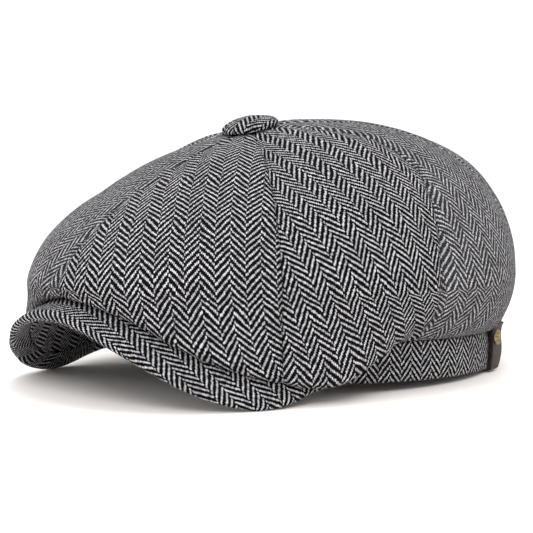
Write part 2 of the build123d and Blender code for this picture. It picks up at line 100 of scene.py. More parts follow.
ARCH_BLEND_START = 42.0
ARCH_BLEND_END = 84.0
BRIM_AT_TEMPLE = 7.5
BOARD = 1.7
BRIM_CLOTH = 1.3
LAYER_GAP = 0.12
GORE_ACROSS = 41
GORE_DOME_ROWS = 64
GORE_UNDER_ROWS = 52
SECTION_STEPS = 90
MILLIMETRE = 0.001
WELD_DISTANCE = 0.00002


def smooth_step(value, low, high):
    t = min(1.0, max(0.0, (value - low) / (high - low)))
    return t * t * (3.0 - 2.0 * t)


def even_steps(line, count):
    """Spread count points evenly along a fine line of points."""
    lengths = [0.0]
    for a, b in zip(line, line[1:]):
        lengths.append(lengths[-1] + (b - a).length)
    spread = []
    step = 0
    for index in range(count):
        wanted = lengths[-1] * index / (count - 1)
        while step < len(line) - 2 and lengths[step + 1] < wanted:
            step += 1
        span = lengths[step + 1] - lengths[step]
        t = 0.0 if span == 0 else min(1.0, (wanted - lengths[step]) / span)
        spread.append(line[step].lerp(line[step + 1], t))
    return spread


def opening_point(turn, inset=0.0):
    x = (OPEN_HALF_WIDTH - inset) * sin(radians(turn))
    y = -(OPEN_HALF_LENGTH - inset) * cos(radians(turn))
    return x, y


def arch_height(x):
    return ARCH_RISE * (1.0 - (x / ARCH_HALF_WIDTH) ** 2)


def brim_height(x, y):
    """Height of the brim board's middle surface."""
    forward = -y
    arch = ARCH_BASE - BRIM_SLOPE * (forward - ARCH_FORWARD) + arch_height(x)
    blend = smooth_step(forward, ARCH_BLEND_START, ARCH_BLEND_END)
    return BRIM_AT_TEMPLE + (arch - BRIM_AT_TEMPLE) * blend


def band_foot(turn):
    """Height of the band's lower edge: it rests at the rear and follows the brim in front."""
    x, y = opening_point(turn)
    forward = -y
    resting = TEMPLE_LIFT * (forward + OPEN_HALF_LENGTH) / (TEMPLE_FORWARD + OPEN_HALF_LENGTH)
    on_brim = brim_height(x, y) - 0.5 * BOARD - BRIM_CLOTH
    share = smooth_step(forward, TEMPLE_FORWARD - 8.0, TEMPLE_FORWARD + 8.0)
    return resting + (on_brim - resting) * share


def brim_top(x, y, clearance):
    slope_x = 0.5 * (brim_height(x + 1.0, y) - brim_height(x - 1.0, y))
    slope_y = 0.5 * (brim_height(x, y + 1.0) - brim_height(x, y - 1.0))
    layers = 0.5 * BOARD + LAYER_GAP + BRIM_CLOTH + clearance
    return brim_height(x, y) + layers * sqrt(1.0 + slope_x**2 + slope_y**2)


def around(turn, front, side, rear):
    end = front if cos(radians(turn)) > 0 else rear
    return side + (end - side) * cos(radians(turn)) ** 2


def reach_along(bearing, half_width, front, rear, centre):
    """Distance from the button to an egg-shaped outline, along one bearing."""
    start = BUTTON_FORWARD - centre
    c = cos(radians(bearing))
    for reach in (front, rear):
        square = (sin(radians(bearing)) / half_width) ** 2 + (c / reach) ** 2
        linear = start * c / reach**2
        constant = (start / reach) ** 2 - 1.0
        distance = (sqrt(linear**2 - square * constant) - linear) / square
        if (start + distance * c >= 0.0) == (reach == front):
            break
    return distance


def along_bearing(bearing, distance):
    x = distance * sin(radians(bearing))
    y = -BUTTON_FORWARD - distance * cos(radians(bearing))
    return x, y


def seam_bearing(turn):
    """Bearing from the button of the point on the crown's widest line at this turn."""
    reach = CROWN_FRONT_REACH if cos(radians(turn)) > 0 else CROWN_REAR_REACH
    ahead = CROWN_FORWARD + reach * cos(radians(turn)) - BUTTON_FORWARD
    bearing = degrees(atan2(CROWN_HALF_WIDTH * sin(radians(turn)), ahead))
    return bearing if turn <= 180.0 else bearing + 360.0


def dome_height(x, y):
    forward = -y - CROWN_FORWARD
    reach = CROWN_FRONT_REACH if forward > 0 else CROWN_REAR_REACH
    along = forward / reach
    across = x / CROWN_HALF_WIDTH
    r = min(1.0, hypot(along, across))
    turn = degrees(atan2(across, along))
    power = around(turn, ROUND_FRONT, ROUND_SIDE, ROUND_REAR)
    rim = around(turn, EQUATOR_FRONT, EQUATOR_SIDE, EQUATOR_REAR)
    return rim + (CROWN_TOP - rim) * (1.0 - r**power) ** (1.0 / power)


def crown_section(bearing):
    """One line of the crown, as distances from the button and heights, down to the band."""
    fine = SECTION_STEPS
    rim_reach = reach_along(
        bearing, CROWN_HALF_WIDTH, CROWN_FRONT_REACH, CROWN_REAR_REACH, CROWN_FORWARD
    )
    dome = []
    for step in range(fine + 1):
        distance = APEX_HOLE + (rim_reach - APEX_HOLE) * sin(0.5 * pi * step / fine)
        dome.append(Vector((distance, dome_height(*along_bearing(bearing, distance)))))
    rim_z = dome[-1][1]

    seam_reach = reach_along(bearing, OPEN_HALF_WIDTH, OPEN_HALF_LENGTH, OPEN_HALF_LENGTH, 0.0)
    seam_x, seam_y = along_bearing(bearing, seam_reach)
    seam_turn = degrees(atan2(seam_x / OPEN_HALF_WIDTH, -seam_y / OPEN_HALF_LENGTH))
    seam_z = band_foot(seam_turn) + BAND_HEIGHT + 0.3
    draw = rim_reach - seam_reach
    plain = []
    for step in range(fine + 1):
        t = 0.5 * pi * step / fine
        across = cos(t) ** (2.0 / TUCK_ROUND) if step < fine else 0.0
        down = sin(t) ** (2.0 / TUCK_ROUND)
        plain.append(Vector((seam_reach + draw * across, rim_z - (rim_z - seam_z) * down)))

    side_turn = abs((seam_turn + 180.0) % 360.0 - 180.0)
    shoulder = smooth_step(side_turn, 12.0, 34.0) * (1.0 - smooth_step(side_turn, 44.0, 80.0))
    draw_in = FOLD_DRAW_IN - FOLD_PUSH * shoulder
    fold_end = draw_in + FOLD_RADIUS
    low_z = brim_top(*along_bearing(bearing, rim_reach - fold_end), FOLD_CLEARANCE)
    hanging = []
    for step in range(fine + 1):
        t = step / fine
        height = rim_z + (low_z + FOLD_RADIUS - rim_z) * t
        hanging.append(Vector((rim_reach - draw_in * t * t, height)))
    for step in range(1, fine // 2 + 1):
        t = 0.5 * pi * step / (fine // 2)
        inward = draw_in + FOLD_RADIUS * (1.0 - cos(t))
        hanging.append(Vector((rim_reach - inward, low_z + FOLD_RADIUS * (1.0 - sin(t)))))
    for step in range(1, fine + 1):
        t = step / fine
        distance = rim_reach - fold_end - (draw - fold_end) * t
        rising = low_z + (seam_z - low_z) * t**1.6
        clear = brim_top(*along_bearing(bearing, distance), FOLD_CLEARANCE)
        hanging.append(Vector((distance, max(rising, clear))))

    hang = 1.0 - smooth_step(side_turn, HANG_FULL, HANG_FROM)
    under = [
        a.lerp(b, hang)
        for a, b in zip(even_steps(plain, GORE_UNDER_ROWS), even_steps(hanging, GORE_UNDER_ROWS))
    ]
    return even_steps(dome, GORE_DOME_ROWS) + under[1:]


FLAT_COLUMNS = 11
FLAT_ROWS = 37
FLAT_TURNS = 1500
FLAT_PULL = 0.22
FLAT_EVENING = 10


def flattened(grid):
    """Lay a curved sheet flat, keeping its lengths: each point gets a place on the cloth."""
    tall, wide = len(grid), len(grid[0])
    rows = np.linspace(0, tall - 1, min(FLAT_ROWS, tall)).round().astype(int)
    columns = np.linspace(0, wide - 1, min(FLAT_COLUMNS, wide)).round().astype(int)
    coarse = np.array(grid)[rows][:, columns]
    middle = len(columns) // 2
    widths = np.linalg.norm(np.diff(coarse, axis=1), axis=2)
    across = np.concatenate([np.zeros((len(rows), 1)), np.cumsum(widths, axis=1)], axis=1)
    down = np.linalg.norm(np.diff(coarse[:, middle], axis=0), axis=1)
    flat = np.zeros((len(rows), len(columns), 2))
    flat[:, :, 0] = across - across[:, middle : middle + 1]
    flat[1:, :, 1] = np.cumsum(down)[:, None]
    whole = slice(None)
    head, tail = slice(None, -1), slice(1, None)
    ties = []
    for a, b in (
        ((whole, head), (whole, tail)),
        ((head, whole), (tail, whole)),
        ((head, head), (tail, tail)),
        ((head, tail), (tail, head)),
    ):
        ties.append((a, b, np.linalg.norm(coarse[b] - coarse[a], axis=2)))
    for turn in range(FLAT_TURNS):
        move = np.zeros_like(flat)
        for a, b, length in ties:
            gap = flat[b] - flat[a]
            now = np.maximum(np.linalg.norm(gap, axis=2), 1e-6)
            pull = gap * (0.5 * (1.0 - length / now))[:, :, None]
            move[a] += pull
            move[b] -= pull
        flat += FLAT_PULL * move
    for turn in range(FLAT_EVENING):
        for axis in range(2):
            line = np.moveaxis(flat, axis, 0)
            ends = [2.0 * line[:1] - line[1:2], line, 2.0 * line[-1:] - line[-2:-1]]
            longer = np.concatenate(ends)
            line[:] = 0.25 * (longer[:-2] + 2.0 * line + longer[2:])
    fine = np.zeros((tall, wide, 2))
    for axis in range(2):
        filled = np.array([np.interp(np.arange(tall), rows, line) for line in flat[:, :, axis].T])
        fine[:, :, axis] = [np.interp(np.arange(wide), columns, line) for line in filled.T]
    return [[Vector(place) for place in line] for line in fine.tolist()]


def turned_cloth(cloth, angle):
    """Turn the weave within a piece of cloth that has been laid flat."""
    turn = Matrix.Rotation(radians(angle), 2)
    return [[turn @ place for place in line] for line in cloth]


def as_rows(lines):
    """Rows of points from lines that run down the cloth."""
    return [list(row) for row in zip(*lines)]


def cloth_mesh(name, grid, cloth, thickness, closed=False):
    """A sheet of cloth with real thickness, whose UV map is the cloth laid flat in metres."""
    mesh = bpy.data.meshes.new(name)
    rows, columns = len(grid), len(grid[0])
    points = [point * MILLIMETRE for line in grid for point in line]
    faces = []
    for row in range(rows - 1):
        for column in range(columns - 1):
            corner = row * columns + column
            faces.append((corner, corner + columns, corner + columns + 1, corner + 1))
    mesh.from_pydata(points, [], faces)
    layer = mesh.uv_layers.new(name="cloth")
    for loop in mesh.loops:
        row, column = divmod(loop.vertex_index, columns)
        layer.data[loop.index].uv = cloth[row][column] * MILLIMETRE
    if closed:
        work = bmesh.new()
        work.from_mesh(mesh)
        bmesh.ops.remove_doubles(work, verts=work.verts, dist=WELD_DISTANCE)
        work.to_mesh(mesh)
        work.free()
    mesh.shade_smooth()
    piece = bpy.data.objects.new(name, mesh)
    bpy.context.scene.collection.objects.link(piece)
    solidify = piece.modifiers.new("thickness", "SOLIDIFY")
    solidify.thickness = thickness * MILLIMETRE
    solidify.offset = -1.0
    solidify.use_even_offset = False
    return piece


def grid_normal(grid, row, column):
    above = grid[max(0, row - 1)][column]
    below = grid[min(len(grid) - 1, row + 1)][column]
    left = grid[row][max(0, column - 1)]
    right = grid[row][min(len(grid[0]) - 1, column + 1)]
    normal = (below - above).cross(right - left)
    return normal.normalized() if normal.length > 1e-9 else Vector((0.0, 0.0, 1.0))


def moved_out(grid, distance):
    """Move each point of a sheet along its normal by distance(row, column, point)."""
    return [
        [
            point + grid_normal(grid, row, column) * distance(row, column, point)
            for column, point in enumerate(line)
        ]
        for row, line in enumerate(grid)
    ]


class Thread:
    """A shader socket that Python expressions can be written with."""

    def __init__(self, socket, tree):
        self.socket = socket
        self.tree = tree

    def node(self, kind, settings=(), **values):
        """Any node: its type, its settings, and the values or links of its sockets."""
        made = self.tree.nodes.new(kind)
        for key, value in dict(settings).items():
            if key == "stops":
                while len(made.color_ramp.elements) < len(value):
                    made.color_ramp.elements.new(0.5)
                for element, (place, colour) in zip(made.color_ramp.elements, value):
                    element.position = place
                    element.color = (*colour, 1.0)
            else:
                setattr(made, key, value)
        for key, value in values.items():
            name = int(key[1:]) if key[0] == "_" else key.replace("_", " ")
            socket = made.inputs[name]
            if isinstance(value, Thread):
                self.tree.links.new(value.socket, socket)
            elif isinstance(value, tuple) and len(value) == 3 and socket.type == "RGBA":
                socket.default_value = (*value, 1.0)
            else:
                socket.default_value = value
        return made

    def out(self, made, output=0):
        return Thread(made.outputs[output], self.tree)

    def maths(self, operation, *values):
        numbered = {f"_{index}": value for index, value in enumerate(values)}
        return self.out(self.node("ShaderNodeMath", {"operation": operation}, **numbered))

    def __add__(self, other):
        return self.maths("ADD", self, other)

    __radd__ = __add__

    def __sub__(self, other):
        return self.maths("SUBTRACT", self, other)

    def __rsub__(self, other):
        return self.maths("SUBTRACT", other, self)

    def __mul__(self, other):
        return self.maths("MULTIPLY", self, other)

    __rmul__ = __mul__

    def __truediv__(self, other):
        return self.maths("DIVIDE", self, other)

    def __pow__(self, other):
        return self.maths("POWER", self, other)

    def floor(self):
        return self.maths("FLOOR", self)

    def part(self):
        return self - self.floor()

    def size(self):
        return self.maths("ABSOLUTE", self)

    def ramp(self, low, high):
        """0 below low, 1 above high and smooth between them."""
        made = self.node(
            "ShaderNodeMapRange",
            {"interpolation_type": "SMOOTHSTEP"},
            Value=self, From_Min=low, From_Max=high, To_Min=0.0, To_Max=1.0,
        )
        return self.out(made)

    def blend(self, low, high):
        """A colour between two colours, by this value."""
        made = self.node("ShaderNodeMix", {"data_type": "RGBA"}, _0=self, _6=low, _7=high)
        return self.out(made, 2)

    def on_cloth(self):
        """The place on the cloth as it lies flat, in metres."""
        return self.out(self.node("ShaderNodeUVMap", {"uv_map": "cloth"}))

    def in_piece(self):
        """The place in the piece, in metres."""
        return self.out(self.node("ShaderNodeTexCoord"), 3)

    def axes(self):
        split = self.node("ShaderNodeSeparateXYZ", Vector=self)
        return [self.out(split, axis) for axis in range(3)]

    def speckle(self, scale, detail):
        """Soft noise about 0.5 at this place."""
        made = self.node(
            "ShaderNodeTexNoise", Vector=self, Scale=scale, Detail=detail, Roughness=0.6
        )
        return self.out(made)

    def chance(self, other):
        """A number from 0 to 1 that is fixed for each pair of whole numbers."""
        pair = self.out(self.node("ShaderNodeCombineXYZ", X=self, Y=other, Z=0.0))
        return self.out(
            self.node("ShaderNodeTexWhiteNoise", {"noise_dimensions": "2D"}, Vector=pair)
        )


def new_material(name):
    """An empty material, its surface shader, and a thread to start its expressions with."""
    material = bpy.data.materials.new(name)
    material.use_nodes = True
    tree = material.node_tree
    surface = next(node for node in tree.nodes if node.type == "BSDF_PRINCIPLED")
    return material, surface, Thread(None, tree)


def finished(surface, colour, roughness, relief, depth):
    """Join a surface's colour and relief to it. Roughness is one number, or varies over it."""
    links = colour.tree.links
    links.new(colour.socket, surface.inputs["Base Color"])
    if isinstance(roughness, Thread):
        links.new(roughness.socket, surface.inputs["Roughness"])
    else:
        surface.inputs["Roughness"].default_value = roughness
    bump = colour.node("ShaderNodeBump", Height=relief, Distance=depth, Strength=1.0)
    links.new(bump.outputs[0], surface.inputs["Normal"])


COLUMN = 0.0062
STRIPE = 0.00345
STRIPE_STEEPNESS = tan(radians(49.0))
STRIPE_SOFTNESS = 0.07
YARN = 0.00062
YARN_SHIFT = 0.16
TWISTS_PER_METRE = 2400.0
DRIFT_ACROSS = 0.0009
DRIFT_ALONG = 0.0008
FUZZ_FINENESS = 2600.0
PATCH_FINENESS = 34.0
WOOL_RELIEF = 0.0004
BLACK_WOOL = (0.0010, 0.0010, 0.0014)
DARK_GREY_WOOL = (0.012, 0.011, 0.014)
WHITE_WOOL = (0.83, 0.82, 0.85)
GREY_WOOL = (0.23, 0.225, 0.24)
WHITE_SHARE = 0.33


def herringbone(name, nap):
    """Wool cloth: columns of slanting stripes that turn back at each column's edge.

    nap is how far the brushed surface hairs veil the stripes, from 0 to 1.
    """
    material, surface, start = new_material(name)
    place = start.on_cloth()
    across, along, _ = place.axes()
    across = across + (place.speckle(55.0, 1.0) - 0.5) * DRIFT_ACROSS
    along = along + (place.speckle(70.0, 1.0) - 0.5) * DRIFT_ALONG
    yarn = across / YARN
    yarn_number = yarn.floor()
    middle = (yarn_number + 0.5) * YARN
    pair = middle / (2.0 * COLUMN)
    zigzag = (pair.part() * 2.0 - 1.0).size()
    turned = (pair.part() - 0.5).ramp(-0.001, 0.001)
    lift = zigzag * COLUMN * STRIPE_STEEPNESS + turned * (0.5 * STRIPE)
    uneven = yarn_number.chance((along / STRIPE).floor())
    stripe = (along + lift) / STRIPE + (uneven - 0.5) * YARN_SHIFT
    wave = (stripe.part() - 0.5).size() * 2.0
    float_up = 1.0 - wave.ramp(WHITE_SHARE - STRIPE_SOFTNESS, WHITE_SHARE + STRIPE_SOFTNESS)
    round_yarn = 1.0 - ((yarn.part() - 0.5).size() * 2.0) ** 2.5
    twist = ((along * TWISTS_PER_METRE + yarn * 0.9).part() - 0.5).size() * 2.0
    fuzz = place.speckle(FUZZ_FINENESS, 3.0)
    shade = yarn_number.chance(stripe.floor())
    patch = place.speckle(PATCH_FINENESS, 3.0)
    whiteness = fuzz * 0.6 + shade * 0.7 + twist * 0.25 + patch * 0.3 - 0.45
    light = whiteness.blend(GREY_WOOL, WHITE_WOOL)
    dark = (fuzz * 1.2 - 0.35).ramp(0.1, 0.9).blend(BLACK_WOOL, DARK_GREY_WOOL)
    stray = fuzz.ramp(0.64, 0.76) * 0.14
    # The white floats are painted darker towards each yarn's sides: painted shade on the round
    # yarn.
    mask = float_up * (0.72 + 0.28 * round_yarn)
    mask = mask * (1.0 - 0.30 * fuzz.ramp(0.52, 0.75)) + stray * (1.0 - float_up)
    hairs = (fuzz.ramp(0.42, 0.68) * 0.45 + patch * 0.06) * nap
    mask = mask * (1.0 - 0.75 * nap) + hairs
    surface.inputs["Specular IOR Level"].default_value = 0.06
    relief = float_up * round_yarn * 0.7 + round_yarn * 0.25 + twist * 0.10 + fuzz * 0.35
    finished(surface, mask.blend(dark, light), 0.92, relief, WOOL_RELIEF)
    return material


tweed = herringbone("herringbone_wool", 0.0)
brushed_tweed = herringbone("brushed_herringbone_wool", 0.26)
BRUSHED_GORES = (3, 8)

SEAM_GAP = 0.03
SEAM_SINK = 0.8
SEAM_HALF_WIDTH = 2.2
STIFF_BESIDE_SEAM = 22.0
PUFF = 1.5
DENT_DEPTH = 1.5
GATHERED_UNDER_BUTTON = 0.65
GATHERED_WITHIN = (12.0, 26.0)
DEEPEST_DENT = 1.2
GRAIN_TURN = (17.0, 14.0, 0.0, 0.0, 0.0, 0.0, -14.0, -17.0)
SWAY_AT = (0.0, 0.2, 0.46, 0.71, 0.83, 0.94, 1.0)
SWAY_TURN = (8.0, 20.0, 30.0, 18.0, 10.0, 3.5, 0.0)


def soft_waves(point, depth):
    """Gentle dents and swells of hand-shaped wool."""
    broad = noise.noise(point * 0.021 + Vector((3.7, 1.2, 8.1)))
    fine = noise.noise(point * 0.055 + Vector((9.3, 4.4, 0.6)))
    return depth * (broad + 0.45 * fine)


def swayed(turn, share):
    """The side seams bow back on their way to the button."""
    side = min(turn, 360.0 - turn)
    bow = smooth_step(side, 54.0, 87.0) * (1.0 - smooth_step(side, 95.0, 180.0))
    sway = float(np.interp(share, SWAY_AT, SWAY_TURN)) * bow
    return sway if turn < 180.0 else -sway


def gore_turns(index, count):
    """Turns of lines spread from seam to seam, which keep a hair's breadth off the seams."""
    low, high = GORE_SEAMS[index], GORE_SEAMS[index + 1]
    for step in range(count):
        turn = low + (high - low) * (step / (count - 1))
        yield min(max(turn, low + SEAM_GAP), high - SEAM_GAP)


def gore_grid(index):
    lines = []
    for turn in gore_turns(index, GORE_ACROSS):
        bearing = seam_bearing(turn)
        section = crown_section(bearing)
        rim = section[GORE_DOME_ROWS - 1][0]
        line = []
        for row, (distance, z) in enumerate(section):
            if row < GORE_DOME_ROWS - 1:
                bent = bearing + swayed(turn, distance / rim)
                bent_rim = reach_along(
                    bent, CROWN_HALF_WIDTH, CROWN_FRONT_REACH, CROWN_REAR_REACH, CROWN_FORWARD
                )
                x, y = along_bearing(bent, distance * bent_rim / rim)
                line.append(Vector((x, y, dome_height(x, y))))
            else:
                line.append(Vector((*along_bearing(bearing, distance), z)))
        lines.append(line)
    return as_rows(lines)


def puffed(grid):
    """Swell a gore between its seams, and sink the seams themselves."""
    rows = len(grid)
    widths = [[0.0] for _ in grid]
    for row, line in enumerate(grid):
        for a, b in zip(line, line[1:]):
            widths[row].append(widths[row][-1] + (b - a).length)

    def shape(row, column, point):
        width = widths[row][-1]
        from_seam = min(widths[row][column], width - widths[row][column])
        share = sin(pi * widths[row][column] / width)
        near_apex = smooth_step(row, 2, 16)
        near_band = 1.0 - smooth_step(row, rows - 22, rows - 6)
        free = near_apex * near_band
        seam = SEAM_SINK * (1.0 - smooth_step(from_seam, 0.0, SEAM_HALF_WIDTH))
        sewn = smooth_step(from_seam, 0.0, STIFF_BESIDE_SEAM)
        swell = PUFF * (share - 0.55) * min(1.0, width / 60.0)
        moved = free * (swell + sewn * soft_waves(point, DENT_DEPTH))
        from_apex = hypot(point.x, point.y + BUTTON_FORWARD)
        gathered = 1.0 - smooth_step(from_apex, *GATHERED_WITHIN)
        moved = max(-DEEPEST_DENT, moved) + GATHERED_UNDER_BUTTON * gathered
        return moved - seam * near_band

    return moved_out(grid, shape)


for number in range(GORES):
    plain = gore_grid(number)
    name = f"gore_{number + 1}"
    cloth = turned_cloth(flattened(plain), GRAIN_TURN[number])
    piece = cloth_mesh(name, puffed(plain), cloth, CROWN_CLOTH)
    piece.data.materials.append(brushed_tweed if number + 1 in BRUSHED_GORES else tweed)
    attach(piece, "cap")
    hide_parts(f"crown_panel_{number + 1}")


# ---- lining gores ----
# Eight gores of black satin hang inside the crown, sewn together and to the sweatband's top edge.
LINING_DROP = 3.4
LINING_EDGE_INSET = 3.6
LINING_ROUND = 2.4
LINING_CLOTH = 0.5
LINING_HOLE = 4.4
LINING_ROWS = 40
LINING_ACROSS = 21
SWEATBAND_LIFT = 0.8
SWEATBAND_HEIGHT = 26.0
LINING_SAG = 0.9
LINING_CREASE = 1.1
SATIN_THREAD = 0.0004
SATIN_RELIEF = 0.00012


def satin(name, dark, light):
    """Smooth lining cloth with fine close threads and a soft shine."""
    material, surface, start = new_material(name)
    place = start.on_cloth()
    across, along, _ = place.axes()
    thread = ((across / SATIN_THREAD).part() - 0.5).size() * 2.0
    cross = ((along / SATIN_THREAD).part() - 0.5).size() * 2.0
    worn = place.speckle(90.0, 3.0)
    colour = (thread * 0.35 + worn * 0.65).blend(dark, light)
    relief = thread * 0.6 + cross * 0.4 + worn * 0.8
    finished(surface, colour, worn * 0.25 + 0.30, relief, SATIN_RELIEF)
    return material


lining_satin = satin("black_satin", (0.010, 0.010, 0.012), (0.030, 0.030, 0.034))


def lining_section(bearing):
    inset = LINING_EDGE_INSET
    length = OPEN_HALF_LENGTH - inset
    reach = reach_along(bearing, OPEN_HALF_WIDTH - inset, length, length, 0.0)
    x, y = along_bearing(bearing, reach)
    edge_z = band_foot(degrees(atan2(x / OPEN_HALF_WIDTH, -y / OPEN_HALF_LENGTH)))
    edge_z += SWEATBAND_LIFT + SWEATBAND_HEIGHT + 0.3
    line = []
    for step in range(LINING_ROWS):
        distance = LINING_HOLE + (reach - LINING_HOLE) * sin(0.5 * pi * step / (LINING_ROWS - 1))
        x, y = along_bearing(bearing, distance)
        r = min(1.0, hypot(x / (OPEN_HALF_WIDTH - inset), y / length))
        rounded = edge_z + (CROWN_TOP - edge_z) * (1.0 - r**LINING_ROUND) ** (1.0 / LINING_ROUND)
        below_wool = dome_height(x, y) - LINING_DROP * sqrt(1.0 + r**4)
        line.append(Vector((x, y, min(rounded, below_wool))))
    return line


def lining_sag(row, column, point):
    """Satin bags inwards a little between its seams."""
    free = smooth_step(row, 2, 10) * (1.0 - smooth_step(row, LINING_ROWS - 8, LINING_ROWS - 1))
    share = sin(pi * column / (LINING_ACROSS - 1))
    return -free * share * (LINING_SAG + soft_waves(point * 1.6, LINING_CREASE))


for number in range(GORES):
    turns = gore_turns(number, LINING_ACROSS)
    plain = as_rows(lining_section(seam_bearing(turn)) for turn in turns)
    cloth = flattened(plain)
    sagging = moved_out(plain, lining_sag)
    piece = cloth_mesh(f"lining_{number + 1}", sagging, cloth, LINING_CLOTH)
    piece.data.materials.append(lining_satin)
    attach(piece, "cap")
    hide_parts(f"lining_panel_{number + 1}")


# ---- outer band ----
# A straight strip of the same wool runs round the head opening. The crown is sewn to its top
# edge, its lower edge is folded under, and its ends meet at the back.
BAND_CLOTH = 1.4
BAND_COLUMNS = 289
BAND_ROWS = 15
BAND_SWELL = 0.55
BAND_WAVES = 0.5
BAND_SUNK = 0.2


def ring_grid(inset, foot_lift, height, rows):
    """A closed strip on edge around the head opening, from its top edge to its foot."""
    grid = []
    for row in range(rows):
        share = row / (rows - 1)
        line = []
        for column in range(BAND_COLUMNS):
            turn = 180.0 + 360.0 * column / (BAND_COLUMNS - 1)
            x, y = opening_point(turn, inset)
            line.append(Vector((x, y, band_foot(turn) + foot_lift + height * (1.0 - share))))
        grid.append(line)
    return grid


def strip_cloth(grid):
    """A strip laid flat: lengths along its middle row, and heights down its first column."""
    middle = grid[len(grid) // 2]
    along = [0.0]
    for a, b in zip(middle, middle[1:]):
        along.append(along[-1] + hypot(b.x - a.x, b.y - a.y))
    return [
        [Vector((u, start.z - point.z)) for u, point, start in zip(along, line, grid[0])]
        for line in grid
    ]


band = ring_grid(0.0, 0.0, BAND_HEIGHT, BAND_ROWS)
band_cloth = strip_cloth(band)


def band_shape(row, column, point):
    share = row / (BAND_ROWS - 1)
    edge = smooth_step(share, 0.0, 0.2) * (1.0 - smooth_step(share, 0.75, 1.0))
    return BAND_SWELL * edge + edge * soft_waves(point * 1.5, BAND_WAVES) - BAND_SUNK


piece = cloth_mesh("outer_band_wool", moved_out(band, band_shape), band_cloth, BAND_CLOTH, True)
piece.data.materials.append(tweed)
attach(piece, "cap")
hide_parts("outer_band")


# ---- interlining ----
# A stiff tape in the plainest weave, thread over thread, is hidden between the outer band and the
# sweatband, and keeps the band upright.
TAPE_THREAD = 0.0008
TAPE_DARK = (0.45, 0.43, 0.38)
TAPE_LIGHT = (0.8, 0.78, 0.72)


def finish_node(node, material):
    """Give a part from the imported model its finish."""
    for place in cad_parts[node].material_slots:
        place.material = material


woven_tape, surface, start = new_material("woven_tape")
place = start.in_piece()
x, y, z = place.axes()
over = (((x - y) / TAPE_THREAD).part() - 0.5).size() * 2.0
under = ((z / TAPE_THREAD).part() - 0.5).size() * 2.0
uneven = place.speckle(700.0, 3.0)
colour = (over * 0.3 + under * 0.3 + uneven * 0.4).blend(TAPE_DARK, TAPE_LIGHT)
finished(surface, colour, 0.9, over + under + uneven, 0.0002)
finish_node("band_interlining", woven_tape)


# ---- sweatband ----
# A band of black cotton twill lines the head opening. It is folded at its lower edge and
# stitched a little above the fold.
INTERLINING = 0.7
SWEATBAND = 0.9
RIVET_BACK = 0.5
SWEATBAND_INSET = BAND_CLOTH + LAYER_GAP + INTERLINING + RIVET_BACK + 2.0 * LAYER_GAP
SWEATBAND_ROWS = 17
TWILL = 0.0009
BLACK_COTTON = (0.012, 0.012, 0.013)
WORN_COTTON = (0.050, 0.048, 0.050)

black_twill, surface, start = new_material("black_twill")
place = start.on_cloth()
across, along, _ = place.axes()
rib = (((across + along) / TWILL).part() - 0.5).size() * 2.0
lint = place.speckle(1500.0, 3.0)
colour = (rib * 0.5 + lint * 0.5).blend(BLACK_COTTON, WORN_COTTON)
finished(surface, colour, 0.85, rib * 0.8 + lint * 0.5, 0.0003)

sweat = ring_grid(SWEATBAND_INSET, SWEATBAND_LIFT, SWEATBAND_HEIGHT, SWEATBAND_ROWS)
sweat_cloth = strip_cloth(sweat)


def sweat_shape(row, column, point):
    share = row / (SWEATBAND_ROWS - 1)
    free = smooth_step(share, 0.0, 0.3) * (1.0 - smooth_step(share, 0.8, 1.0))
    return -free * (0.3 + 0.5 * abs(soft_waves(point * 2.0, 0.8)))


piece = cloth_mesh("sweatband_twill", moved_out(sweat, sweat_shape), sweat_cloth, SWEATBAND, True)
piece.data.materials.append(black_twill)
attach(piece, "cap")
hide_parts("sweatband")

STITCHES = 150
STITCH_LENGTH = 2.4
STITCH_THICKNESS = 0.32
STITCH_HEIGHT = 3.4
STITCH_PROUD = 0.1
STITCH_RINGS = 5
STITCH_SIDES = 6
STITCH_TAPER = 0.86
LIGHT_THREAD = (0.16, 0.16, 0.17)
SHADED_THREAD = tuple(0.6 * part for part in LIGHT_THREAD)


def on_stitch_line(turn):
    x, y = opening_point(turn, SWEATBAND_INSET + SWEATBAND)
    return Vector((x, y, band_foot(turn) + SWEATBAND_LIFT + STITCH_HEIGHT))


def add_stitch(work, point, direction, outward):
    """One stitch of thread: a short spindle that dips in at both ends."""
    rings = []
    cross = direction.cross(outward).normalized()
    for step in range(STITCH_RINGS):
        share = step / (STITCH_RINGS - 1) - 0.5
        girth = 0.5 * STITCH_THICKNESS * cos(pi * share * STITCH_TAPER)
        rise = outward * (0.25 * STITCH_THICKNESS * cos(pi * share))
        centre = point + direction * (STITCH_LENGTH * share) + rise
        ring = []
        for side in range(STITCH_SIDES):
            angle = 2.0 * pi * side / STITCH_SIDES
            offset = outward * (girth * cos(angle)) + cross * (girth * sin(angle))
            ring.append(work.verts.new((centre + offset) * MILLIMETRE))
        rings.append(ring)
    for low, high in zip(rings, rings[1:]):
        for side in range(STITCH_SIDES):
            after = (side + 1) % STITCH_SIDES
            work.faces.new((low[side], low[after], high[after], high[side]))
    work.faces.new(list(reversed(rings[0])))
    work.faces.new(rings[-1])


